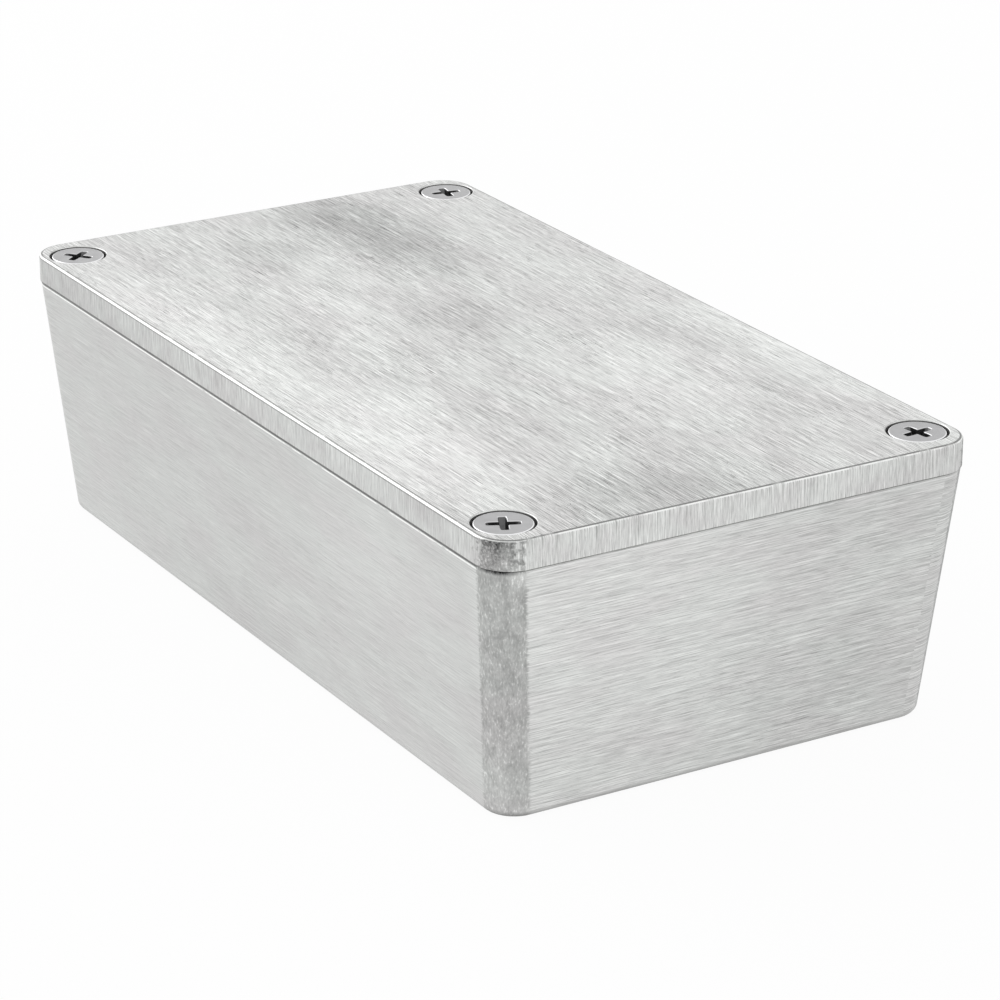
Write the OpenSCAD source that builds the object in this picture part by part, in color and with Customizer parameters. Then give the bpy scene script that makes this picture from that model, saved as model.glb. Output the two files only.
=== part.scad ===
// Die cast aluminium box: a draughted tub, and a lid held down by four countersunk screws.
// X runs along the long side, Y along the short side and +Z up through the lid.
// The origin is the middle of the underside.

/* [Box] */
// Length of the closed box, over the lid
box_l = 112; // [80:1:200]
// Width of the closed box, over the lid
box_w = 60; // [50:1:150]
// Height of the closed box
box_h = 32.7; // [28:0.5:90]
// Radius of the upright corners at the lid
corner_r = 4.1; // [3.6:0.1:5.5]

/* [Base] */
// How far each short side leans in between the rim and the underside
draught_ends = 2.8; // [1:0.1:3.2]
// How far each long side leans in between the rim and the underside
draught_sides = 2.4; // [1:0.1:3.2]
// How far the rim stands back from the edge of the lid
rim_back = 0.15; // [0.05:0.05:0.4]
// Thickness of the four side walls
wall_t = 2.4; // [2.2:0.1:3]
// Thickness of the floor
floor_t = 2.4; // [1.8:0.1:4]
// Radius of the upright corners at the underside
foot_corner_r = 3.8; // [3.5:0.1:5.5]
// Rounding where the sides turn under into the floor
foot_round = 1.1; // [0.6:0.1:2]
// Rounding inside, where the walls meet the floor
floor_round = 1; // [0.4:0.1:1.2]
// Bevel round the outer edge of the rim and the lower edge of the lid
rim_bevel = 0.25; // [0.1:0.05:0.4]
// Height of the locating lip above the rim
lip_h = 1.1; // [0.6:0.1:1.3]

/* [Lid] */
// Height of the lid's edge
lid_h = 3.4; // [3.2:0.1:6]
// Thickness of the lid's plate
plate_t = 2; // [1.8:0.1:2.2]
// Rounding of the lid's top edge
lid_round = 0.5; // [0.2:0.1:1]
// Thickness of the skirt round the lid's underside
skirt_t = 1.2; // [0.9:0.1:1.4]

/* [Corner posts] */
// Distance of each screw's axis from the lid's short edge
screw_in_x = 5.3; // [4.6:0.1:6.5]
// Distance of each screw's axis from the lid's long edge
screw_in_y = 4.2; // [4:0.1:6.5]
// Radius of the bosses in the base and of the pads under the lid
post_r = 3.6; // [3.3:0.1:4.6]
// Depth of the tapped holes in the bosses
tap_depth = 11; // [10:0.5:14]

/* [Screws] */
// Diameter of the thread
thread_d = 3.5; // [3:0.1:3.9]
// Length of a screw, over its head
screw_l = 12.7; // [9.5:0.1:13.5]
// Diameter of the flat head
head_d = 6.3; // [6:0.1:6.7]
// Height of the upright edge round the head
head_edge = 0.4; // [0.2:0.05:0.6]
// Bevel round the top of the head
head_bevel = 0.12; // [0.05:0.01:0.2]
// Angle of the cone under the head
head_angle = 82; // [80:1:90]
// Width of each arm of the cross recess
recess_w = 0.9; // [0.7:0.05:1.1]
// Span of the cross recess at the top of the head
recess_span = 3.6; // [3:0.1:4.4]
// Span of the cross recess at its bottom
recess_foot = 1.4; // [1:0.1:2]
// Depth of the cross recess
recess_depth = 1.5; // [1:0.1:1.8]
// Bevel at the tip of the thread
tip_bevel = 0.6; // [0.3:0.1:0.8]
// Angle at which the front left screw came to rest
turn_front_left = 37; // [0:1:89]
// Angle at which the front right screw came to rest
turn_front_right = 65; // [0:1:89]
// Angle at which the back left screw came to rest
turn_back_left = 80; // [0:1:89]
// Angle at which the back right screw came to rest
turn_back_right = 7; // [0:1:89]

/* [Screw holes] */
// Diameter of the sink round each head
sink_d = 6.9; // [6.8:0.1:7.6]
// Depth of the sink's upright wall
sink_depth = 0.8; // [0.6:0.1:1]
// Diameter of the hole through the lid
through_d = 4; // [4:0.1:4.4]

/* [Clearances] */
// Gap all round between the base's lip and the lid's skirt
lip_gap = 0.1; // [0.05:0.05:0.2]
// Gap between the lip and the lid's corner pads
pad_gap = 0.3; // [0.1:0.1:0.5]
// How far the heads sit below the top of the lid
head_low = 0.1; // [0:0.05:0.2]
// Gap under the cone of the head
seat_gap = 0.04; // [0.02:0.01:0.08]
// Gap between a screw's thread and its tapped hole
thread_gap = 0.03; // [0.02:0.01:0.05]

/* [Hidden] */
$fn = 64;
corner_fn = 32;
sliver = 0.01;
overcut = 0.2;
lip_root = 1;

rim_z = box_h - lid_h;
rim = [box_l - 2 * rim_back, box_w - 2 * rim_back, corner_r - rim_back];
foot = [rim[0] - 2 * draught_ends, rim[1] - 2 * draught_sides, foot_corner_r];
screw_x = box_l / 2 - screw_in_x;
screw_y = box_w / 2 - screw_in_y;
head_r = head_d / 2;
thread_r = thread_d / 2;
through_r = through_d / 2;
head_z = box_h - head_low;
cone_slope = tan(head_angle / 2);
cone_h = (head_r - thread_r) / cone_slope;
seat_h = (head_r - through_r) / cone_slope;
seat_z = head_z - head_edge - seat_gap - seat_h;

// Plan that is t smaller all round: length, width and corner radius.
function inside(plan, t) = [plan[0] - 2 * t, plan[1] - 2 * t, plan[2] - t];

// Puts its child at the four corners of an l by w rectangle.
module at_corners(l, w) {
    for (sx = [-1, 1], sy = [-1, 1])
        translate([sx * l / 2, sy * w / 2, 0])
            children();
}

// Puts its child at the corner centres of a plan, z above the origin.
module round_corners(plan, z) {
    translate([0, 0, z])
        at_corners(plan[0] - 2 * plan[2], plan[1] - 2 * plan[2])
            children();
}

// Rectangle with round corners, centred on the origin.
module round_rect(plan) {
    square([plan[0] - 2 * plan[2], plan[1]], center = true);
    square([plan[0], plan[1] - 2 * plan[2]], center = true);
    round_corners(plan, 0)
        circle(plan[2]);
}

// Disc of radius r whose lower edge is rounded to radius e.
module soft_disc(r, e) {
    arc = [for (a = [0 : 15 : 90]) [r - e + e * sin(a), e - e * cos(a)]];
    rotate_extrude($fn = corner_fn)
        polygon(concat([[0, 0]], arc, [[r, e + sliver], [0, e + sliver]]));
}

// Solid that tapers from a rounded plan at the bottom to a bevelled plan at height h.
module draughted(bottom, top, h, edge, bevel) {
    hull() {
        round_corners(bottom, 0)
            soft_disc(bottom[2], edge);
        round_corners(top, h - bevel - sliver)
            cylinder(r = top[2], h = sliver, $fn = corner_fn);
        round_corners(top, h - sliver)
            cylinder(r = top[2] - bevel, h = sliver, $fn = corner_fn);
    }
}

// Plan of the four corner posts: round about each screw, and square out to the corner.
module corner_posts(r) {
    at_corners(2 * screw_x, 2 * screw_y)
        circle(r);
    at_corners(box_l - screw_in_x, box_w - screw_in_y - r)
        square([screw_in_x, screw_in_y + r], center = true);
    at_corners(box_l - screw_in_x - r, box_w - screw_in_y)
        square([screw_in_x + r, screw_in_y], center = true);
}

// Lip that stands on the rim between the corner posts and locates the lid.
module locating_lip() {
    translate([0, 0, rim_z - lip_root])
        linear_extrude(lip_root + lip_h)
            difference() {
                round_rect(inside([box_l, box_w, corner_r], skirt_t + lip_gap));
                corner_posts(post_r + pad_gap);
            }
}

// The space inside the tub, which leaves the four bosses standing.
module cavity() {
    difference() {
        translate([0, 0, floor_t])
            draughted(
                inside(foot, wall_t), inside(rim, wall_t),
                rim_z + lip_h + overcut - floor_t, floor_round, 0
            );
        linear_extrude(rim_z)
            corner_posts(post_r);
    }
}

module base() {
    color([0.72, 0.72, 0.71])
        difference() {
            union() {
                draughted(foot, rim, rim_z, foot_round, rim_bevel);
                locating_lip();
            }
            cavity();
            translate([0, 0, rim_z - tap_depth])
                at_corners(2 * screw_x, 2 * screw_y)
                    cylinder(r = thread_r + thread_gap, h = tap_depth + overcut);
        }
}

// Hole for one screw: the through hole, the conical seat and the sink round the head.
module screw_hole() {
    translate([0, 0, rim_z - overcut])
        cylinder(r = through_r, h = lid_h);
    translate([0, 0, seat_z])
        cylinder(r1 = through_r, r2 = head_r, h = seat_h);
    translate([0, 0, box_h - sink_depth])
        cylinder(d = sink_d, h = sink_depth + overcut);
}

module lid() {
    outer = [box_l, box_w, corner_r];
    color([0.8, 0.8, 0.79])
        difference() {
            translate([0, 0, box_h])
                mirror([0, 0, 1])
                    draughted(outer, outer, lid_h, lid_round, rim_bevel);
            translate([0, 0, rim_z - overcut])
                linear_extrude(lid_h - plate_t + overcut)
                    difference() {
                        round_rect(inside(outer, skirt_t));
                        corner_posts(post_r);
                    }
            at_corners(2 * screw_x, 2 * screw_y)
                screw_hole();
        }
}

// Cross recess, two tapered slots deep, cut down from the top of the head.
module cross_recess() {
    slot = [
        [-recess_span / 2, overcut], [-recess_span / 2, 0], [-recess_foot / 2, -recess_depth],
        [recess_foot / 2, -recess_depth], [recess_span / 2, 0], [recess_span / 2, overcut]
    ];
    for (turn = [0, 90])
        rotate([90, 0, turn])
            linear_extrude(recess_w, center = true)
                polygon(slot);
}

// Countersunk screw at the corner that sx and sy name, turned to the angle it was driven to.
module lid_screw(sx, sy, turn) {
    half_profile = [
        [0, 0], [head_r - head_bevel, 0], [head_r, -head_bevel], [head_r, -head_edge],
        [thread_r, -head_edge - cone_h], [thread_r, tip_bevel - screw_l],
        [thread_r - tip_bevel, -screw_l], [0, -screw_l]
    ];
    color([0.62, 0.62, 0.62])
        translate([sx * screw_x, sy * screw_y, head_z])
            rotate([0, 0, turn])
                difference() {
                    rotate_extrude()
                        polygon(half_profile);
                    cross_recess();
                }
}

base();
lid();
lid_screw(-1, -1, turn_front_left);  // screw_front_left
lid_screw(1, -1, turn_front_right);  // screw_front_right
lid_screw(-1, 1, turn_back_left);  // screw_back_left
lid_screw(1, 1, turn_back_right);  // screw_back_right
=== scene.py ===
import math

import bmesh
import bpy
import numpy as np
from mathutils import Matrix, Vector, geometry


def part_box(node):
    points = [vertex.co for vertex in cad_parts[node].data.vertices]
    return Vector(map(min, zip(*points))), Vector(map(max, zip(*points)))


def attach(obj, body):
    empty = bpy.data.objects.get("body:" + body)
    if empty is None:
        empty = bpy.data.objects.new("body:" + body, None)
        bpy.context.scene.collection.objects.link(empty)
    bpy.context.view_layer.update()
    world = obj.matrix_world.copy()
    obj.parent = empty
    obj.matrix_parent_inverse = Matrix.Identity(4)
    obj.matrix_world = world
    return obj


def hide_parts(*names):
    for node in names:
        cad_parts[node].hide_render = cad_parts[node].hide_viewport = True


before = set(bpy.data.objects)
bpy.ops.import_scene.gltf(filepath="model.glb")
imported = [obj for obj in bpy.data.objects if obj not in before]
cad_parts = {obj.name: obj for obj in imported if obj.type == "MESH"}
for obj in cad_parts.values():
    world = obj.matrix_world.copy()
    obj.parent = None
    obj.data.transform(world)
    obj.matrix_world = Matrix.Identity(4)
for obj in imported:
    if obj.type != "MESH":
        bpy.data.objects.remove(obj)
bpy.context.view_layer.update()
lidLow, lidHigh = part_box("lid")
nearScrewLow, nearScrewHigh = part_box("screw_front_right")
print("frame loaded:", len(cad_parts), "nodes")

mm = 0.001
rimHeight = lidLow.z    # where the lid sits on the tub
topHeight = lidHigh.z
screwTop = nearScrewHigh.z
screwNames = ["screw_front_left", "screw_front_right", "screw_back_left", "screw_back_right"]
screwAxis = (    # where the screw of the +X +Y corner stands, which the others mirror
    (nearScrewLow.x + nearScrewHigh.x) / 2, -(nearScrewLow.y + nearScrewHigh.y) / 2
)
screwAxes = [(sx * screwAxis[0], sy * screwAxis[1]) for sx in (-1, 1) for sy in (-1, 1)]
mergeGap = 0.002 * mm    # points nearer than this are one
cornerRub = (1.9 * mm, 1.9 * mm, 2.2 * mm, 0)    # cast skin taken off each corner, in the walk's order


# Walk round a rectangle with round corners, anticlockwise from the +X +Y corner. Each station holds
# the corner centre's place as a share of the half sides (cx, cy) and the way that the outline faces
# there (turn). A straight side slides from one corner centre to the next while the turn stays, and
# its stations crowd towards its ends: share = (1 - cos t) / 2.
def planWalk(arcSteps=16, longSteps=80, shortSteps=48):
    corners = [(1, 1), (-1, 1), (-1, -1), (1, -1)]
    cx, cy, turn = [], [], []
    for k in range(4):
        here, there = corners[k], corners[(k + 1) % 4]
        arc = np.linspace(k, k + 1, arcSteps + 1) * math.pi / 2
        sideSteps = longSteps if k % 2 == 0 else shortSteps
        share = 0.5 - 0.5 * np.cos(np.linspace(0, math.pi, sideSteps + 1)[1:-1])
        cx += [np.full(arcSteps + 1, here[0]), here[0] + (there[0] - here[0]) * share]
        cy += [np.full(arcSteps + 1, here[1]), here[1] + (there[1] - here[1]) * share]
        turn += [arc, np.full(sideSteps - 1, (k + 1) * math.pi / 2)]
    cx, cy, turn = (np.concatenate(v).astype(float) for v in (cx, cy, turn))
    return np.append(cx, 1.0), np.append(cy, 1.0), np.append(turn, 2 * math.pi)


# Points of the walk on plans (length, width, radius), one row for each plan:
# x = cx (length / 2 - radius) + radius cos(turn), and y likewise with the width and the sine.
def planPoints(walk, plans):
    cx, cy, turn = walk
    length, width, radius = (np.asarray(plans, float)[:, i, None] for i in range(3))
    x = cx * (length / 2 - radius) + radius * np.cos(turn)
    y = cy * (width / 2 - radius) + radius * np.sin(turn)
    return np.stack([x, y], -1)


# Plan that is t smaller all round.
def inside(plan, t):
    return (plan[0] - 2 * t, plan[1] - 2 * t, plan[2] - t)


# Plan of a wall that leans from one plan to another, at a share of the way: low + (high - low) share.
def between(low, high, share):
    return tuple(a + (b - a) * share for a, b in zip(low, high))


# Distance walked along an outline, and distance from the middle of the nearest round corner. A corner
# that the brush has rubbed counts as further away, so that less cast skin is left on it.
def walkedLength(walk, outline):
    s = np.append(0, np.cumsum(np.hypot(*np.diff(outline, axis=0).T)))
    middles = np.interp((np.arange(4) + 0.5) * math.pi / 2, walk[2], s)
    gap = np.abs(s[:, None] - middles)
    return s, (np.minimum(gap, s[-1] - gap) + cornerRub).min(1)


# Pushes points out of the four corner posts: a point nearer than radius to the quadrant outside a
# screw's axis moves along the diagonal, towards the middle, until it is radius away. The length of
# the push is found by halving.
def clearPosts(points, centre, radius, halvings=40):
    x, y = np.abs(points[..., 0]) - centre[0], np.abs(points[..., 1]) - centre[1]
    low, high = np.zeros_like(x), np.full_like(x, 4 * radius)
    for _ in range(halvings):
        t = (low + high) / 2
        far = np.hypot(np.minimum(x - t, 0), np.minimum(y - t, 0)) > radius
        low, high = np.where(far, low, t), np.where(far, t, high)
    t = np.where(np.hypot(np.minimum(x, 0), np.minimum(y, 0)) >= radius, 0, high)
    return points - t[..., None] * np.sign(points)


# Empty shell: lists of patches that finishShell joins, and how many points they have so far.
def newShell():
    return {"points": [], "faces": [], "finish": [], "grain": [], "skin": [], "count": 0}


# Adds loose patches to a shell: points (n, 3), faces (m, 3 or 4), and for each point its place along
# and across the grain, and its distance from a cast corner with its height.
def addPatch(shell, points, faces, grain, skin, finish):
    shell["faces"] += (np.asarray(faces) + shell["count"]).tolist()
    shell["finish"] += [finish] * len(faces)
    shell["points"].append(points)
    shell["grain"].append(grain)
    shell["skin"].append(skin)
    shell["count"] += len(points)


# Grid of points (rows, columns, 3) as quads between neighbouring rows and columns. Without a grain
# of its own it takes x and y, and without a skin it is far from any cast corner.
def addGrid(shell, points, grain=None, skin=None, finish=0):
    rows, columns = points.shape[:2]
    index = np.arange(rows * columns).reshape(rows, columns)
    quads = np.stack([index[:-1, :-1], index[:-1, 1:], index[1:, 1:], index[1:, :-1]], -1)
    grain = points[..., :2] if grain is None else grain
    skin = np.full((rows, columns, 2), 1.0) if skin is None else skin
    addPatch(
        shell, points.reshape(-1, 3), quads.reshape(-1, 4), grain.reshape(-1, 2),
        skin.reshape(-1, 2), finish
    )


# Even-odd test of points against a closed loop: inside where a line to the right crosses it an odd
# number of times.
def insideLoop(points, loop):
    a, b = loop, np.roll(loop, -1, axis=0)
    x, y = points[:, 0, None], points[:, 1, None]
    crosses = (a[:, 1] > y) != (b[:, 1] > y)
    rise = np.where(b[:, 1] == a[:, 1], 1.0, b[:, 1] - a[:, 1])
    return (crosses & (x < (b[:, 0] - a[:, 0]) * (y - a[:, 1]) / rise + a[:, 0])).sum(1) % 2 == 1


# Flat face at a height, between an outer loop and the loops of its holes, by constrained triangles.
def addFlat(shell, outer, holes, height, finish=0):
    loops = [outer] + holes
    flat = np.concatenate(loops) / mm
    edges, start = [], 0
    for loop in loops:
        ring = np.arange(len(loop))
        edges += np.stack([start + ring, start + np.roll(ring, -1)], -1).tolist()
        start += len(loop)
    withinLoops, tiny = 1, 1e-6    # no triangles outside the loops, and points this near are one
    made = geometry.delaunay_2d_cdt([Vector(p) for p in flat], edges, [], withinLoops, tiny)
    points, faces = np.array([tuple(p) for p in made[0]]) * mm, np.array(made[2])
    middle = points[faces].mean(1)
    keep = ~np.any([insideLoop(middle, hole) for hole in holes], axis=0) if holes else slice(None)
    addPatch(
        shell, raised(points, height), faces[keep], points, np.full((len(points), 2), 1.0), finish
    )


# Level points (x, y) lifted to a height: (x, y, height).
def raised(loop, height):
    return np.column_stack([loop, np.full(len(loop), height)])


# Rectangle from x0 to x1 and from y0 to y1, as a loop of its corners.
def bar(x0, x1, y0, y1):
    return np.array([(x0, y0), (x1, y0), (x1, y1), (x0, y1)])


# Ring of points round a centre: centre + radius (cos a, sin a).
def circle(centre, radius, steps=96):
    a = np.arange(steps) * 2 * math.pi / steps
    return np.stack([centre[0] + radius * np.cos(a), centre[1] + radius * np.sin(a)], -1)


# Surface turned about an upright axis: (r cos a, r sin a, z) for each point (r, z) of a profile.
def addTurned(shell, centre, profile, steps=96, finish=0):
    a = np.linspace(0, 2 * math.pi, steps + 1)
    r, z = (np.array(profile, float)[:, i, None] for i in range(2))
    points = np.stack([centre[0] + r * np.cos(a), centre[1] + r * np.sin(a), z + 0 * a], -1)
    grain = np.stack([r * a, z + 0 * a], -1)
    addGrid(shell, points, grain, finish=finish)


# Quarter round from a side's face up to a flat top, as insets radius (1 - cos a) and drops
# radius (1 - sin a).
def roundEdge(radius, steps=6):
    a = np.linspace(0, math.pi / 2, steps + 1)
    return radius * (1 - np.cos(a)), radius * (1 - np.sin(a))


# Rows of points on plans at heights, with the grain running round the walls and the skin telling
# how far each point is from a cast corner. The middle row gives the distances for all.
def wallRows(walk, plans, heights):
    outlines = planPoints(walk, plans)
    level = np.broadcast_to(np.asarray(heights, float)[:, None], outlines.shape[:2])
    points = np.concatenate([outlines, level[..., None]], 2)
    along, corner = walkedLength(walk, outlines[len(outlines) // 2])
    grain = np.stack([np.broadcast_to(along, level.shape), level], -1)
    skin = np.stack([np.broadcast_to(corner, level.shape), level], -1)
    return points, grain, skin


# Joins a shell's patches into one closed mesh, facing outwards, with its sharp edges kept.
def finishShell(name, shell, materials, sharpAngle=30):
    mesh = bpy.data.meshes.new(name)
    mesh.from_pydata(np.concatenate(shell["points"]).tolist(), [], shell["faces"])
    corners = np.zeros(len(mesh.loops), int)
    mesh.loops.foreach_get("vertex_index", corners)
    for layer in ("grain", "skin"):
        values = np.concatenate(shell[layer])[corners]
        mesh.uv_layers.new(name=layer).data.foreach_set("uv", values.astype(np.float32).ravel())
    for material in materials:
        mesh.materials.append(material)
    mesh.polygons.foreach_set("material_index", shell["finish"])
    work = bmesh.new()
    work.from_mesh(mesh)
    bmesh.ops.remove_doubles(work, verts=work.verts, dist=mergeGap)
    bmesh.ops.dissolve_degenerate(work, edges=work.edges, dist=mergeGap)
    bmesh.ops.recalc_face_normals(work, faces=work.faces)
    openEdges = sum(1 for e in work.edges if len(e.link_faces) != 2)
    work.to_mesh(mesh)
    work.free()
    mesh.polygons.foreach_set("use_smooth", np.ones(len(mesh.polygons), bool))
    mesh.set_sharp_from_angle(angle=math.radians(sharpAngle))
    piece = bpy.data.objects.new(name, mesh)
    bpy.context.scene.collection.objects.link(piece)
    weighted = piece.modifiers.new("flat faces lead", "WEIGHTED_NORMAL")
    weighted.keep_sharp = True
    print(f"{name}: {len(mesh.polygons)} faces, {openEdges} open edges")
    return piece


tub = {
    "rimBack": 0.15 * mm, "rimRound": 0.2 * mm, "cornerRadius": 4.1 * mm, "wall": 2.4 * mm,
    "endLean": 2.8 * mm, "sideLean": 2.4 * mm, "footCorner": 3.8 * mm, "footRound": 1.1 * mm,
    "floor": 2.4 * mm, "floorRound": 1 * mm, "postRadius": 3.6 * mm, "tapRadius": 1.78 * mm,
    "tapDepth": 11 * mm, "lipBack": 1.3 * mm, "lipGap": 0.3 * mm, "lipHeight": 1.1 * mm,
    "lipClear": 0.02 * mm,    # from the lip to the wall behind it
    "flatRing": 0.6 * mm,    # even strip round the underside, which keeps its shading flat
}

lidPlan = (2 * lidHigh.x, 2 * lidHigh.y, tub["cornerRadius"])
rimPlan = inside(lidPlan, tub["rimBack"])
footPlan = (
    rimPlan[0] - 2 * tub["endLean"], rimPlan[1] - 2 * tub["sideLean"], tub["footCorner"]
)
walk = planWalk()


# Tub: rows of the walk up the outside and down the inside, closed by flat faces.
def makeTub(materials):
    shell = newShell()
    wallTop = rimHeight - tub["rimRound"]

    # outside: underside edge, leaning walls, rim
    inset, drop = roundEdge(tub["footRound"])
    plans = [inside(footPlan, tub["footRound"] + tub["flatRing"])]
    plans += [inside(footPlan, i) for i in inset[::-1]]
    heights = [0] + list(drop[::-1])
    for share in np.linspace(0, 1, 9)[1:]:
        plans.append(between(footPlan, rimPlan, share))
        heights.append(tub["footRound"] + (wallTop - tub["footRound"]) * share)
    inset, drop = roundEdge(tub["rimRound"], 4)
    plans += [inside(rimPlan, i) for i in inset[1:]]
    heights += list(rimHeight - drop[1:])
    points, grain, skin = wallRows(walk, plans, heights)
    addGrid(shell, points, grain, skin)
    addFlat(shell, points[0, :-1, :2], [], 0, finish=2)
    rimLoop = points[-1, :-1, :2]

    # inside: rim, leaning walls round the posts, floor edge, floor
    low, high = inside(footPlan, tub["wall"]), inside(rimPlan, tub["wall"])
    wallFoot = tub["floor"] + tub["floorRound"]
    shares = np.linspace(1, 0, 5)
    plans = [between(low, high, share) for share in shares]
    heights = list(wallFoot + (rimHeight - wallFoot) * shares)
    inset, drop = roundEdge(tub["floorRound"], 5)
    plans += [inside(low, i) for i in inset[1:]]
    heights += list(tub["floor"] + drop[1:])
    points, grain, skin = wallRows(walk, plans, heights)
    points[..., :2] = clearPosts(points[..., :2], screwAxis, tub["postRadius"])
    addGrid(shell, points, grain, finish=1)
    addFlat(shell, points[-1, :-1, :2], [], tub["floor"], finish=1)
    holes = [points[0, :-1, :2]]

    # locating lip, in four bars between the posts
    lipTop = rimHeight + tub["lipHeight"]
    endX, endY = (a - tub["postRadius"] - tub["lipGap"] for a in screwAxis)
    outX, outY = lidPlan[0] / 2 - tub["lipBack"], lidPlan[1] / 2 - tub["lipBack"]
    inX, inY = high[0] / 2 + tub["lipClear"], high[1] / 2 + tub["lipClear"]
    for loop in (
        bar(-endX, endX, inY, outY), bar(-endX, endX, -outY, -inY),
        bar(inX, outX, -endY, endY), bar(-outX, -inX, -endY, endY)
    ):
        closed = np.vstack([loop, loop[:1]])
        addGrid(shell, np.stack([raised(closed, rimHeight), raised(closed, lipTop)]), finish=1)
        addFlat(shell, loop, [], lipTop, finish=1)
        holes.append(loop)

    # tapped holes
    radius, foot = tub["tapRadius"], rimHeight - tub["tapDepth"]
    for centre in screwAxes:
        addTurned(shell, centre, [(radius, rimHeight), (radius, foot), (0, foot)], 48, finish=1)
        holes.append(circle(centre, radius, 48))
    addFlat(shell, rimLoop, holes, rimHeight, finish=1)
    piece = finishShell("castBase", shell, materials)
    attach(piece, "root")
    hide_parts("base")


lid = {
    "topRound": 0.4 * mm, "plate": 2 * mm, "skirt": 1.2 * mm, "lowRound": 0.1 * mm,
    "seamBack": 0.7 * mm, "seamGap": 0.07 * mm, "sinkRadius": 3.45 * mm, "sinkDepth": 0.8 * mm,
    "sinkRound": 0.1 * mm, "throughRadius": 2 * mm, "seatRadius": 2.924 * mm,
    "seatAngle": math.radians(41),
}


# Lid: rows of the walk from the seam up to the top, a pocket underneath, and turned screw holes.
def makeLid(materials):
    shell = newShell()

    # outside: seam under the edge, edge, rounded top
    inset, drop = roundEdge(lid["lowRound"], 3)
    lift = rimHeight + lid["seamGap"]
    plans = [inside(lidPlan, lid["seamBack"])] + [inside(lidPlan, i) for i in inset[::-1]]
    heights = [rimHeight] + list(lift + drop[::-1])
    inset, drop = roundEdge(lid["topRound"])
    foot, top = lift + lid["lowRound"], topHeight - lid["topRound"]
    plans += [lidPlan] * 3 + [inside(lidPlan, i) for i in inset]
    heights += list(np.linspace(foot, top, 5)[1:-1]) + list(topHeight - drop)
    points, grain, skin = wallRows(walk, plans, heights)
    addGrid(shell, points, grain[..., ::-1], skin)    # the edge is brushed up and down
    bottomLoop, topLoop = points[0, :-1, :2], points[-1, :-1, :2]

    # pocket underneath, round the four pads
    ceiling = topHeight - lid["plate"]
    pocket = inside(lidPlan, lid["skirt"])
    points, grain, skin = wallRows(walk, [pocket, pocket], [rimHeight, ceiling])
    points[..., :2] = clearPosts(points[..., :2], screwAxis, tub["postRadius"])
    addGrid(shell, points, grain, finish=1)
    pocketLoop = points[0, :-1, :2]
    addFlat(shell, pocketLoop, [], ceiling, finish=1)

    # screw holes: eased rim, sink, seat and through hole
    seatDepth = (lid["seatRadius"] - lid["throughRadius"]) / math.tan(lid["seatAngle"])
    ledge = topHeight - lid["sinkDepth"]
    quarter = zip(*roundEdge(lid["sinkRound"], 4))    # lies on its side: drops run out, insets down
    rim = [(lid["sinkRadius"] + drop, topHeight - inset) for inset, drop in quarter]
    well = [
        (lid["sinkRadius"], topHeight - lid["sinkRound"]), (lid["sinkRadius"], ledge),
        (lid["seatRadius"], ledge), (lid["throughRadius"], ledge - seatDepth),
        (lid["throughRadius"], rimHeight),
    ]
    for centre in screwAxes:
        addTurned(shell, centre, rim, finish=2)
        addTurned(shell, centre, well, finish=1)
    topHoles = [circle(centre, lid["sinkRadius"] + lid["sinkRound"]) for centre in screwAxes]
    addFlat(shell, topLoop, topHoles, topHeight, finish=2)
    bottomHoles = [pocketLoop] + [circle(centre, lid["throughRadius"]) for centre in screwAxes]
    addFlat(shell, bottomLoop, bottomHoles, rimHeight, finish=1)
    piece = finishShell("castLid", shell, materials)
    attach(piece, "root")
    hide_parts("lid")


screw = {
    "headRadius": 3.15 * mm, "headBevel": 0.12 * mm, "headEdge": 0.4 * mm,
    "shankRadius": 1.75 * mm, "rootRadius": 1.35 * mm, "pitch": 0.79 * mm,
    "coneAngle": math.radians(41), "length": 12.7 * mm, "tip": 0.6 * mm,
    "armReach": 1.8 * mm, "armHalfWidth": 0.45 * mm, "recessEase": 0.07 * mm,
    "footReach": 0.7 * mm, "footHalfWidth": 0.36 * mm, "recessDepth": 1.5 * mm,
    "point": 0.35 * mm, "around": 240, "threadRows": 150,
    "turns": {
        "screw_front_left": 37, "screw_front_right": 65, "screw_back_left": 80, "screw_back_right": 7,
    },
}


# Cross outline: each arm is a rounded slot, r = (|cos/reach|^p + |sin/width|^p)^(-1/p), and the two
# arms join by r = (r1^q + r2^q)^(1/q), which leaves a small fillet between them.
def crossRadius(angle, reach, halfWidth, armPower=7, joinPower=14):
    c, s = np.abs(np.cos(angle)), np.abs(np.sin(angle))
    first = ((c / reach) ** armPower + (s / halfWidth) ** armPower) ** (-1 / armPower)
    second = ((s / reach) ** armPower + (c / halfWidth) ** armPower) ** (-1 / armPower)
    return (first ** joinPower + second ** joinPower) ** (1 / joinPower)


# Thread: a cylinder whose radius rises to the crest once a turn, r = root + (crest - root) ridge,
# where ridge is 1 at phase 0 and falls to 0 on both sides, and phase = z / pitch - angle / turn.
# The root comes up to the crest as run goes to 0, at the thread's two ends.
def threadRadius(angle, height, run, crest=1.15, flank=2.6):
    phase = (height / screw["pitch"] - angle / (2 * math.pi)) % 1
    ridge = np.clip(crest - flank * np.minimum(phase, 1 - phase), 0, 1)
    root = screw["rootRadius"] + (screw["shankRadius"] - screw["rootRadius"]) * (1 - run)
    return root + (screw["shankRadius"] - root) * ridge


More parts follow.
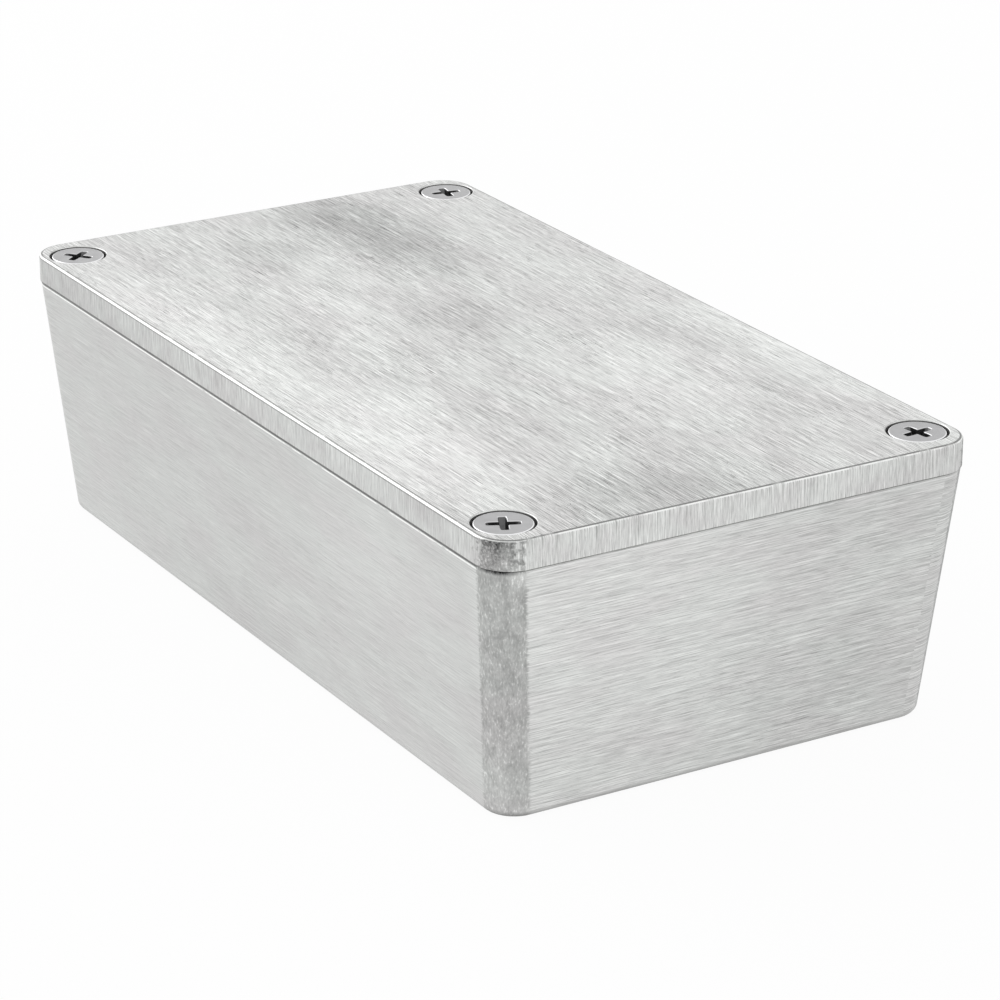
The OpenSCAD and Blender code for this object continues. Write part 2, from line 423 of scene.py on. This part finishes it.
# Screw: rings of points about its axis, (r cos(a + turn), r sin(a + turn), z), with r a function
# of the angle where the cross and the thread are.
def makeScrew(node, materials):
    low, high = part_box(node)
    centre = ((low.x + high.x) / 2, (low.y + high.y) / 2)
    turn = math.radians(screw["turns"][node])
    shell = newShell()
    a = np.linspace(0, 2 * math.pi, screw["around"] + 1)

    # one ring of points for each height below the head's top, with a radius for each angle
    def rings(radii, heights, finish=0):
        radii = np.broadcast_to(np.asarray(radii, float), (len(heights), len(a)))
        heights = np.asarray(heights, float)[:, None] + 0 * a
        across = np.stack([radii * np.cos(a), radii * np.sin(a)], -1)    # lathe marks follow the ring
        grain = np.stack([0 * radii + a * screw["headRadius"], radii + heights], -1)
        points = np.stack([
            centre[0] + radii * np.cos(a + turn), centre[1] + radii * np.sin(a + turn), high.z + heights
        ], -1)
        addGrid(shell, points, grain, across, finish)

    # head: flat face from the cross out to the bevel, edge, and cone down to the neck
    ease = screw["recessEase"]
    cross = crossRadius(a, screw["armReach"] + ease, screw["armHalfWidth"] + ease)
    flat = screw["headRadius"] - screw["headBevel"]
    share = np.array([0, 0.04, 0.3, 0.65, 0.96, 1])[:, None]    # rows crowd towards both edges
    rings(cross + (flat - cross) * share, [0] * len(share))
    bevel = np.linspace(0, math.pi / 2, 4)
    edge = flat + screw["headBevel"] * np.sin(bevel)
    coneDepth = (screw["headRadius"] - screw["shankRadius"]) / math.tan(screw["coneAngle"])
    neck = -screw["headEdge"] - coneDepth
    heights = list(-screw["headBevel"] * (1 - np.cos(bevel))) + [-screw["headEdge"], neck]
    rings(np.append(edge, [screw["headRadius"], screw["shankRadius"]])[:, None], heights)

    # thread and tip
    threadEnd = screw["tip"] - screw["length"]
    heights = np.linspace(neck, threadEnd, screw["threadRows"])[:, None]
    run = np.clip(np.minimum(neck - heights, heights - threadEnd) / screw["pitch"], 0, 1)
    rings(threadRadius(a, heights, run), heights[:, 0])
    tipRadii = [screw["shankRadius"], screw["shankRadius"] - screw["tip"], 0]
    rings(np.array(tipRadii)[:, None], [threadEnd, -screw["length"], -screw["length"]])

    # cross recess: eased mouth, tapering walls, pointed foot
    t = np.linspace(0, 1, 9)[:, None]
    reach = screw["armReach"] + (screw["footReach"] - screw["armReach"]) * t
    width = screw["armHalfWidth"] + (screw["footHalfWidth"] - screw["armHalfWidth"]) * t
    walls = crossRadius(a[None, :], reach, width)
    heights = -ease - (screw["recessDepth"] - ease) * t[:, 0]
    radii = np.vstack([cross, walls, 0 * walls[:1]])
    rings(radii, np.concatenate([[0], heights, [-screw["recessDepth"] - screw["point"]]]), 1)
    name = "lidScrew" + "".join(word.capitalize() for word in node.split("_")[1:])
    piece = finishShell(name, shell, materials, sharpAngle=34)
    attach(piece, "root")
    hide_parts(node)


# Adds a shader node: sockets are set to values or linked from other nodes' outputs, and the rest
# are the node's own settings.
def addNode(tree, kind, sockets=None, **settings):
    node = tree.nodes.new("ShaderNode" + kind)
    for key, value in settings.items():
        setattr(node, key, value)
    for key, value in (sockets or {}).items():
        if isinstance(value, bpy.types.NodeSocket):
            tree.links.new(value, node.inputs[key])
        else:
            node.inputs[key].default_value = value
    return node


# New material: itself, its node tree and its shader.
def newMaterial(name, metallic=1.0):
    material = bpy.data.materials.new(name)
    material.use_nodes = True
    tree = material.node_tree
    shader = tree.nodes["Principled BSDF"]
    shader.inputs["Metallic"].default_value = metallic
    return material, tree, shader


# Two values joined by one of the sums that a Math node does.
def joined(tree, operation, a, b):
    return addNode(tree, "Math", {0: a, 1: b}, operation=operation).outputs[0]


# Product of two values.
def scaled(tree, value, factor):
    return joined(tree, "MULTIPLY", value, factor)


# Mix of two values by a share: a (1 - share) + b share.
def mixed(tree, share, a, b):
    return addNode(tree, "Mix", {0: share, 2: a, 3: b}).outputs[0]


# Straight ramp of a value from one range to another, held at its ends.
def ramp(tree, value, start, end, low=0.0, high=1.0, smooth=False):
    return addNode(tree, "MapRange", {
        "Value": value, "From Min": start, "From Max": end, "To Min": low, "To Max": high
    }, interpolation_type="SMOOTHSTEP" if smooth else "LINEAR").outputs[0]


# Band of heights: 1 between low and high, fading over blur at both ends.
def band(tree, height, low, high, blur):
    rising = ramp(tree, height, low - blur / 2, low + blur / 2)
    return scaled(tree, rising, ramp(tree, height, high + blur / 2, high - blur / 2))


# Noise on a stretched map, from 0 to 1. Size is the length of one blot along each axis in metres,
# shift moves the pattern, and slant turns it by so many degrees.
def blots(tree, vector, size, detail=3, roughness=0.5, shift=0.0, slant=0.0):
    if slant:
        turned = {"Vector": vector, "Rotation": (0, 0, math.radians(slant))}
        vector = addNode(tree, "Mapping", turned).outputs[0]
    mapping = addNode(tree, "Mapping", {
        "Vector": vector, "Scale": tuple(1 / s for s in size),
        "Location": (shift, shift * 1.7, shift * 0.6),    # uneven, so that no two shifts line up
    })
    noise = addNode(tree, "TexNoise", {
        "Vector": mapping.outputs[0], "Scale": 1.0, "Detail": detail, "Roughness": roughness
    })
    return noise.outputs["Fac"]


# Blots about a middle value: middle plus each weight times (blot - 0.5).
def varied(tree, middle, parts):
    total = middle
    for blot, weight in parts:
        total = joined(tree, "ADD", total, scaled(tree, joined(tree, "SUBTRACT", blot, 0.5), weight))
    return total


# Adds soft patches, stains on some faces and painted light and shade on others, each (centre, radii,
# weight): weight times a smooth step of (1 - distance), with the distance from the centre counted in
# radii.
def addStainsAndPaintedLight(tree, value, place, patches):
    for centre, radii, weight in patches:
        mapping = addNode(tree, "Mapping", {
            "Vector": place, "Location": tuple(-c / r for c, r in zip(centre, radii)),
            "Scale": tuple(1 / r for r in radii),
        })
        spot = addNode(tree, "TexGradient", {0: mapping.outputs[0]}, gradient_type="SPHERICAL")
        soft = ramp(tree, spot.outputs["Fac"], 0, 1, 0, weight, smooth=True)
        value = joined(tree, "ADD", value, soft)
    return value


# Colour of a grey with a tint: grey times the tint's red, green and blue.
def tinted(tree, grey, tint):
    parts = {i: scaled(tree, grey, t) for i, t in enumerate(tint)}
    return addNode(tree, "CombineColor", parts).outputs[0]


# Height above the floor.
def heightAt(tree):
    place = addNode(tree, "TexCoord").outputs["Object"]
    return addNode(tree, "SeparateXYZ", {0: place}).outputs[2]


# Share of a point's facing that is along the box's long sides: 1 on them, 0 on the short sides.
def longSideShare(tree, facing):
    across = addNode(tree, "SeparateXYZ", {0: facing}).outputs
    x, y = (joined(tree, "ABSOLUTE", across[i], 0.0) for i in (0, 1))
    return ramp(tree, joined(tree, "SUBTRACT", y, x), 0.1, 0.95, smooth=True)


warmTint, coolTint, steelTint = (1.0, 0.995, 0.985), (0.99, 1.005, 0.985), (1.0, 1.0, 1.01)

# What every brushed face shares. Levels are the noise values between which a mark comes up. A scratch
# is (shift, side, slant, stretch), and a negative side is dark.
brush = {
    "hair": 0.8, "fine": 0.9, "long": 0.3,    # how strongly each kind of mark shows
    "fineStretch": (3.5, 0.7), "longStretch": (6, 2.4),    # length and width, counted in hairs
    "hairRoughness": 0.2, "cloudRoughness": 0.15, "hairRelief": 0.7, "longRelief": 0.5,
    "scratches": [(11.3, -1, 1, 0.9), (17.9, 0.7, 0, 2.5), (23.1, -0.8, -2, 2), (29.7, 0.5, 3, 1)],
    "scratchWidth": 0.7, "scratchLevels": (0.6, 0.72),
    "pitSize": (0.6 * mm, 0.25 * mm, 1), "pitLevels": (0.64, 0.74),
    "clumpSize": (7 * mm, 7 * mm, 7 * mm), "clumpLevels": (0.35, 0.65), "clumpLeast": 0.3,
    "gapSize": (2.5 * mm, 2.5 * mm, 2.5 * mm), "gapBlur": 0.08, "lineBlur": 0.03 * mm,
    "mottleSize": (1.1 * mm, 1.1 * mm, 2 * mm), "sparkle": 0.17, "sparkleLevels": (0.58, 0.75),
    "skinRoughness": 0.6, "skinFade": 0.1 * mm,
    # painted shade on the foot's round, darker towards the floor and weaker on the long sides
    "footShadeTop": 0.95 * mm, "footShadeFull": 0.1 * mm, "footShadeGrey": 0.22, "footShadeOnLong": 0.55,
    "reliefDepth": 0.02 * mm, "tintLevels": (0.35, 0.6),
}


# Brush marks about 0: short hairs, fine long lines and broad soft bands. Scratches and dark pits
# join them where a clump noise is high, and all of them show less on the long sides.
def brushMarks(tree, grain, place, longSide, look):
    length, width = look["stroke"]
    fineSize, longSize = (
        (along * length, across * width, 1)
        for along, across in (brush["fineStretch"], brush["longStretch"])
    )
    hair = blots(tree, grain, (length, width, 1), roughness=0.7, shift=3.1)
    fine = blots(tree, grain, fineSize, detail=1, roughness=0.6, shift=6.6)
    long = blots(tree, grain, longSize, detail=2)
    marks = varied(tree, 0.0, [(hair, brush["hair"]), (fine, brush["fine"]), (long, brush["long"])])
    marks = scaled(tree, marks, look["contrast"])
    strokes = 0.0
    for shift, side, slant, stretch in brush["scratches"]:
        size = (stretch * length, brush["scratchWidth"] * width, 1)
        stroke = blots(tree, grain, size, detail=2, shift=shift, slant=slant)
        stroke = scaled(tree, ramp(tree, stroke, *brush["scratchLevels"]), side * look["scratch"])
        strokes = joined(tree, "ADD", strokes, stroke)
    pit = blots(tree, grain, brush["pitSize"], detail=2, roughness=0.6, shift=5.2)
    pit = scaled(tree, ramp(tree, pit, *brush["pitLevels"]), look["pits"])
    clump = blots(tree, place, brush["clumpSize"], detail=2, shift=8.8)
    clump = ramp(tree, clump, *brush["clumpLevels"], low=brush["clumpLeast"])
    strokes = scaled(tree, joined(tree, "SUBTRACT", strokes, pit), clump)
    marks = joined(tree, "ADD", marks, strokes)
    return scaled(tree, marks, mixed(tree, longSide, 1.0, look["longSideMarks"])), hair, long


# Lines along the edges: painted highlights where a rounded edge catches the light, and painted shade
# where a burr or the seam shades the edge. Gaps is the noise level under which a line breaks off, and 0
# leaves it whole.
def paintEdgeLightAndShade(tree, value, place, height, longSide, paintedEdgeLines):
    broken = blots(tree, place, brush["gapSize"], roughness=0.6, shift=4.4)
    for edge, low, high, grey, onLong, onShort, gaps in paintedEdgeLines:
        share = band(tree, height, edge + low * mm, edge + high * mm, brush["lineBlur"])
        share = scaled(tree, share, mixed(tree, longSide, onShort, onLong))
        if gaps:
            whole = ramp(tree, broken, gaps - brush["gapBlur"], gaps + brush["gapBlur"])
            share = scaled(tree, share, whole)
        value = mixed(tree, share, value, grey)
    return value


# Dull cast skin left at a corner, with ragged sides: how much of it shows, its grey and its specks.
def castSkin(tree, grain, place, height, look):
    skin = addNode(tree, "UVMap", uv_map="skin").outputs[0]
    apart = addNode(tree, "SeparateXYZ", {0: skin}).outputs[0]
    ragged = blots(tree, grain, look["ragged"], roughness=0.6, shift=1.9)
    reach = varied(tree, apart, [(ragged, look["raggedBy"])])
    blur = look["skinBlur"]
    share = ramp(tree, reach, look["cornerSkin"] + blur, look["cornerSkin"] - blur, smooth=True)
    low = ramp(tree, height, look["skinTop"], look["skinTop"] - brush["skinFade"])
    share = scaled(tree, share, low)
    speck = blots(tree, place, look["speckSize"], detail=2, roughness=0.6, shift=7.7)
    mottle = blots(tree, place, brush["mottleSize"], roughness=0.6, shift=2.3)
    grey = varied(tree, look["cornerGrey"], [(speck, look["speck"]), (mottle, look["speck"])])
    sparkle = scaled(tree, ramp(tree, speck, *brush["sparkleLevels"]), brush["sparkle"])
    grey = joined(tree, "ADD", grey, sparkle)
    return share, addStainsAndPaintedLight(tree, grey, place, look["cornerStainsAndPaintedLight"]), speck


# Brushed casting: grey with brush marks, clouds, and soft patches of stain and painted light, then
# lines of painted highlight and painted shade along the edges, cast skin at the corners and painted
# shade on the foot as it turns under. The tint drifts between warm and cool.
def brushedMaterial(name, look):
    material, tree, shader = newMaterial(name)
    grain = addNode(tree, "UVMap", uv_map="grain").outputs[0]
    source = addNode(tree, "TexCoord").outputs
    place, height = source["Object"], heightAt(tree)
    longSide = longSideShare(tree, source["Normal"])
    marks, hair, long = brushMarks(tree, grain, place, longSide, look)
    cloud = blots(tree, place, look["cloudSize"], shift=look["cloudShift"])
    value = joined(tree, "ADD", marks, varied(tree, look["grey"], [(cloud, look["cloud"])]))
    value = addStainsAndPaintedLight(tree, value, place, look["stainsAndPaintedLight"])
    rough = varied(
        tree, look["roughness"], [(hair, brush["hairRoughness"]), (cloud, brush["cloudRoughness"])]
    )
    relief = varied(tree, 0.5, [(long, brush["longRelief"]), (hair, brush["hairRelief"])])
    value = paintEdgeLightAndShade(tree, value, place, height, longSide, look["paintedEdgeLines"])
    if look["cornerSkin"]:
        share, grey, speck = castSkin(tree, grain, place, height, look)
        value = mixed(tree, share, value, grey)
        rough = mixed(tree, share, rough, brush["skinRoughness"])
        relief = mixed(tree, share, relief, speck)
    # painted shade where the foot turns under towards the floor
    footShade = ramp(tree, height, brush["footShadeTop"], brush["footShadeFull"])
    footShade = scaled(tree, footShade, mixed(tree, longSide, 1.0, brush["footShadeOnLong"]))
    value = mixed(tree, footShade, value, brush["footShadeGrey"])
    tint = addNode(tree, "Mix", {
        0: ramp(tree, cloud, *brush["tintLevels"]), 6: warmTint + (1,), 7: coolTint + (1,)
    }, data_type="RGBA").outputs[2]
    shade = addNode(tree, "VectorMath", {0: tint, "Scale": value}, operation="SCALE")
    bump = addNode(tree, "Bump", {
        "Strength": look["relief"], "Distance": brush["reliefDepth"], "Height": relief
    })
    tree.links.new(shade.outputs[0], shader.inputs["Base Color"])
    tree.links.new(rough, shader.inputs["Roughness"])
    tree.links.new(bump.outputs[0], shader.inputs["Normal"])
    return material


casting = {
    "speckSize": (0.2 * mm, 0.2 * mm, 0.2 * mm), "speck": 0.2,
    "patchSize": (4 * mm, 4 * mm, 4 * mm), "patch": 0.1,
    "roughness": 0.55, "relief": 0.3, "reliefDepth": 0.03 * mm,
}


# Plain casting: grey with fine specks, soft patches and a grainy relief.
def castMaterial(name, grey):
    material, tree, shader = newMaterial(name)
    place = addNode(tree, "TexCoord").outputs["Object"]
    speck = blots(tree, place, casting["speckSize"], roughness=0.7)
    patch = blots(tree, place, casting["patchSize"], shift=4.0)
    value = varied(tree, grey, [(speck, casting["speck"]), (patch, casting["patch"])])
    bump = addNode(tree, "Bump", {
        "Strength": casting["relief"], "Distance": casting["reliefDepth"], "Height": speck
    })
    tree.links.new(tinted(tree, value, warmTint), shader.inputs["Base Color"])
    tree.links.new(bump.outputs[0], shader.inputs["Normal"])
    shader.inputs["Roughness"].default_value = casting["roughness"]
    return material


steel = {
    "latheSize": (6 * mm, 0.12 * mm, 1), "lathe": 0.12,
    "patchSize": (1.2 * mm, 1.2 * mm, 1.2 * mm), "patch": 0.12,
    "roughness": 0.36, "latheRoughness": 0.2, "highlightBlur": 0.07 * mm,
}


# Plated steel with lathe marks: grey, turning to a painted highlight of another grey where a measure of
# the screw comes up to a level.
def steelMaterial(name, grey, highlightGrey, measure, level):
    material, tree, shader = newMaterial(name)
    grain = addNode(tree, "UVMap", uv_map="grain").outputs[0]
    place = addNode(tree, "TexCoord").outputs["Object"]
    lathe = blots(tree, grain, steel["latheSize"], roughness=0.6)
    patch = blots(tree, place, steel["patchSize"])
    value = varied(tree, grey, [(lathe, steel["lathe"]), (patch, steel["patch"])])
    highlit = ramp(tree, measure(tree), level - steel["highlightBlur"], level)
    value = mixed(tree, highlit, value, highlightGrey)
    rough = varied(tree, steel["roughness"], [(lathe, steel["latheRoughness"])])
    tree.links.new(tinted(tree, value, steelTint), shader.inputs["Base Color"])
    tree.links.new(rough, shader.inputs["Roughness"])
    return material


# Distance from a screw's axis, which is the length of its skin map (r cos a, r sin a).
def axisDistance(tree):
    skin = addNode(tree, "UVMap", uv_map="skin").outputs[0]
    return addNode(tree, "VectorMath", {0: skin}, operation="LENGTH").outputs["Value"]


# In the looks, a patch of stain or of painted light and shade is (centre, radii, weight), and a line of
# painted highlight or painted shade is (edge, lowest, highest, grey, strength on long sides, strength
# on short sides, gaps), with its heights in mm from the edge.
tubLook = {
    "grey": 0.625, "stroke": (2.2 * mm, 0.125 * mm), "contrast": 0.75, "scratch": 0.2, "pits": 0.12,
    "longSideMarks": 0.5, "cloudSize": (12 * mm, 12 * mm, 5 * mm), "cloudShift": 5.3, "cloud": 0.14,
    "roughness": 0.36, "relief": 0.2,
    # painted light and shade: the +X face darker low towards +Y and lighter high towards -Y, the -Y
    # face darker low and lighter high
    "stainsAndPaintedLight": [
        ((56 * mm, 14 * mm, 4 * mm), (12 * mm, 26 * mm, 16 * mm), -0.06),
        ((-5 * mm, -29 * mm, 2 * mm), (34 * mm, 8 * mm, 9 * mm), -0.04),
        ((56 * mm, -19 * mm, 24 * mm), (8 * mm, 40 * mm, 34 * mm), 0.1),
        ((30 * mm, -29 * mm, 22 * mm), (30 * mm, 8 * mm, 14 * mm), 0.05),
    ],
    "cornerSkin": 2.75 * mm, "skinBlur": 0.22 * mm, "skinTop": topHeight,
    "ragged": (3 * mm, 0.3 * mm, 1), "raggedBy": 1.2 * mm, "cornerGrey": 0.53,
    "speckSize": (0.2 * mm, 0.2 * mm, 0.5 * mm), "speck": 0.4,
    # at the near corner: lighter just by the rim and a little lighter low down, and painted shade of
    # the seam in a thin band at the rim's height
    "cornerStainsAndPaintedLight": [
        ((56.3 * mm, -27.1 * mm, rimHeight), (1.7 * mm, 2 * mm, 3.8 * mm), 0.3),
        ((52.5 * mm, -27 * mm, 0), (6 * mm, 6 * mm, 14 * mm), 0.08),
        ((54.6 * mm, -28.6 * mm, rimHeight), (4 * mm, 4 * mm, 0.6 * mm), -0.5),
    ],
    # painted highlight on the rim's rounded edge, then painted shade of the seam: a dark line and a
    # near-black band up to the rim
    "paintedEdgeLines": [
        (rimHeight, -0.44, -0.23, 1.0, 1.0, 0.3, 0.42),
        (rimHeight, -0.22, -0.15, 0.25, 0.75, 0.25, 0.44),
        (rimHeight, -0.15, 1, 0.08, 1, 0.25, 0),
    ],
}
edgeLook = {
    "grey": 0.63, "stroke": (1.6 * mm, 0.1 * mm), "contrast": 1.0, "scratch": 0.25, "pits": 0,
    "longSideMarks": 0.8, "cloudSize": (4 * mm, 4 * mm, 3 * mm), "cloudShift": 1.2, "cloud": 0.25,
    "roughness": 0.36, "relief": 0.25,
    # the +X edge a little lighter, and the -Y edge darker towards -X
    "stainsAndPaintedLight": [
        ((57 * mm, -8 * mm, 31 * mm), (12 * mm, 60 * mm, 20 * mm), 0.06),
        ((-56 * mm, -30 * mm, 31 * mm), (70 * mm, 10 * mm, 20 * mm), -0.06),
    ],
    "cornerSkin": 2.4 * mm, "skinBlur": 0.65 * mm, "skinTop": topHeight - 0.08 * mm,
    "ragged": (0.9 * mm, 0.9 * mm, 1), "raggedBy": 6 * mm, "cornerGrey": 0.4,
    "speckSize": (0.25 * mm, 0.25 * mm, 0.3 * mm), "speck": 0.75,
    # the corner's skin darker at the top and lighter at the foot
    "cornerStainsAndPaintedLight": [
        ((54.6 * mm, -29.2 * mm, topHeight), (2.6 * mm, 2.6 * mm, 1.8 * mm), -0.24),
        ((56 * mm, -27.6 * mm, rimHeight), (2.6 * mm, 2.2 * mm, 2.6 * mm), 0.2),
    ],
    # painted highlights and painted shade on the rounded top edge: on the long sides a white line
    # between dark lines, on the short sides a dark line at the top over a broken white one; and painted
    # shade of the seam at the foot of the long sides
    "paintedEdgeLines": [
        (topHeight, -0.38, -0.22, 0.3, 0.85, 0, 0),
        (topHeight, -0.18, -0.08, 0.95, 0.9, 0, 0.15),
        (topHeight, -0.2, -0.08, 0.95, 0, 0.9, 0.46),
        (topHeight, -0.07, 1, 0.2, 0, 0.9, 0.33),
        (topHeight, -0.06, 1, 0.25, 0.9, 0, 0.45),
        (rimHeight, -1, 0.21, 0.15, 1, 0, 0),
    ],
}
topLook = {
    "grey": 0.655, "stroke": (2.2 * mm, 0.13 * mm), "contrast": 1.15, "scratch": 0.5, "pits": 0.35,
    "longSideMarks": 1, "cloudSize": (13 * mm, 7 * mm, 9 * mm), "cloudShift": 6.1, "cloud": 0.24,
    "roughness": 0.34, "relief": 0.25,
    # cloudy patches of the metal's own tone, but the one at x 52 mm is painted shade along the +X edge
    "stainsAndPaintedLight": [
        ((x * mm, y * mm, topHeight), (reachX * mm, reachY * mm, 20 * mm), weight)
        for x, y, reachX, reachY, weight in (
            (-38, 10, 26, 11, -0.22), (-50, 5, 12, 12, -0.1), (-40, -6, 11, 8, -0.12),
            (-15, -9, 20, 9, 0.06), (-5, 3, 18, 9, -0.07), (22, 11, 22, 14, 0.08),
            (52, -10, 14, 24, -0.14), (28, -23, 38, 13, 0.14), (-20, -27, 44, 11, 0.1),
            (20, 30, 50, 9, 0.08),
        )
    ],
    "cornerSkin": 0, "paintedEdgeLines": [],
}
# Painted shade: one dark cast grey for the hollows, the screw sinks and through holes, the seam's
# faces, the lip, the tapped holes and the inside.
castInsidePaintedShade = castMaterial("castInsidePaintedShade", 0.22)
castUnderside = castMaterial("castUnderside", 0.45)
makeTub([brushedMaterial("brushedTubSides", tubLook), castInsidePaintedShade, castUnderside])
makeLid([
    brushedMaterial("lidEdge", edgeLook), castInsidePaintedShade, brushedMaterial("brushedLidTop", topLook)
])
# Painted highlights: a near-white ring at the head's outer edge and a lighter mouth to the cross
# recess; below its mouth the recess is painted shade in a dark grey.
headRim, recessMouth = screw["headRadius"] - 0.08 * mm, screwTop - 0.02 * mm
screwSteel = steelMaterial("screwSteel", 0.44, 0.92, axisDistance, headRim)
screwRecessShadeAndHighlight = steelMaterial("screwRecessShadeAndHighlight", 0.12, 0.7, heightAt, recessMouth)
for node in screwNames:
    makeScrew(node, [screwSteel, screwRecessShadeAndHighlight])
print("pieces made")


# Share of rays that see plain white: 1 for the eye's, and for those that metal or glass sends on, as
# the greatest of the three.
def seenRays(tree):
    rays = addNode(tree, "LightPath").outputs
    sentOn = joined(tree, "MAXIMUM", rays["Is Glossy Ray"], rays["Is Transmission Ray"])
    return joined(tree, "MAXIMUM", rays["Is Camera Ray"], sentOn)


paper = {"size": 6.0, "grey": 0.85, "glow": 0.95, "roughness": 0.9}


# Floor: an even square sheet under the box. Where it is seen it is nearly plain white, and the rest
# of its colour keeps the box's soft shadow.
def layFloor():
    half = paper["size"] / 2
    sheet = bpy.data.meshes.new("floor")
    corners = [(-half, -half, 0), (half, -half, 0), (half, half, 0), (-half, half, 0)]
    sheet.from_pydata(corners, [], [(0, 1, 2, 3)])
    floor = bpy.data.objects.new("floor", sheet)
    bpy.context.scene.collection.objects.link(floor)
    material, tree, shader = newMaterial("paperFloor", metallic=0.0)
    shader.inputs["Base Color"].default_value = (paper["grey"],) * 3 + (1,)
    shader.inputs["Roughness"].default_value = paper["roughness"]
    glow = addNode(tree, "Emission", {"Color": (1, 1, 1, 1), "Strength": 1.0}).outputs[0]
    share = scaled(tree, seenRays(tree), paper["glow"])
    blend = addNode(tree, "MixShader", {0: share, 1: shader.outputs[0], 2: glow})
    tree.links.new(blend.outputs[0], tree.nodes["Material Output"].inputs["Surface"])
    sheet.materials.append(material)


room = {"ambient": 0.85, "lampSize": 0.8, "lampPlace": (-0.75, -0.3, 0.42), "lampPower": 3.0}


# White room whose light on the box is a little under the white that is seen, and one soft square
# lamp on the left that faces the box.
def lightRoom():
    world = bpy.data.worlds.new("studio")
    bpy.context.scene.world = world
    world.use_nodes = True
    tree = world.node_tree
    background = tree.nodes["Background"].inputs
    background["Color"].default_value = (1, 1, 1, 1)
    tree.links.new(mixed(tree, seenRays(tree), room["ambient"], 1.0), background["Strength"])
    lamp = bpy.data.lights.new("softBox", "AREA")
    lamp.size = room["lampSize"]
    lamp.energy = room["lampPower"]
    softBox = bpy.data.objects.new("softBox", lamp)
    softBox.location = room["lampPlace"]
    softBox.rotation_euler = (-Vector(softBox.location)).to_track_quat("-Z", "Y").to_euler()
    bpy.context.scene.collection.objects.link(softBox)


view = {
    "azimuth": math.radians(59.36), "elevation": math.radians(21.55), "distance": 0.45,
    "aim": Vector((6.56 * mm, -0.06 * mm, rimHeight - 14.38 * mm)), "lens": 141.22, "sensor": 36,
}


# Camera that looks at the aim from a distance along (sin az cos el, -cos az cos el, sin el).
def aimCamera():
    azimuth, elevation = view["azimuth"], view["elevation"]
    back = Vector((
        math.sin(azimuth) * math.cos(elevation), -math.cos(azimuth) * math.cos(elevation),
        math.sin(elevation)
    ))
    lens = bpy.data.cameras.new("camera")
    lens.lens = view["lens"]
    lens.sensor_width = view["sensor"]
    lens.clip_start, lens.clip_end = 0.01, 20
    camera = bpy.data.objects.new("camera", lens)
    camera.location = view["aim"] + back * view["distance"]
    camera.rotation_euler = (-back).to_track_quat("-Z", "Y").to_euler()
    bpy.context.scene.collection.objects.link(camera)
    bpy.context.scene.camera = camera


layFloor()
lightRoom()
aimCamera()
bpy.context.scene.view_settings.view_transform = "Standard"
print("studio set")
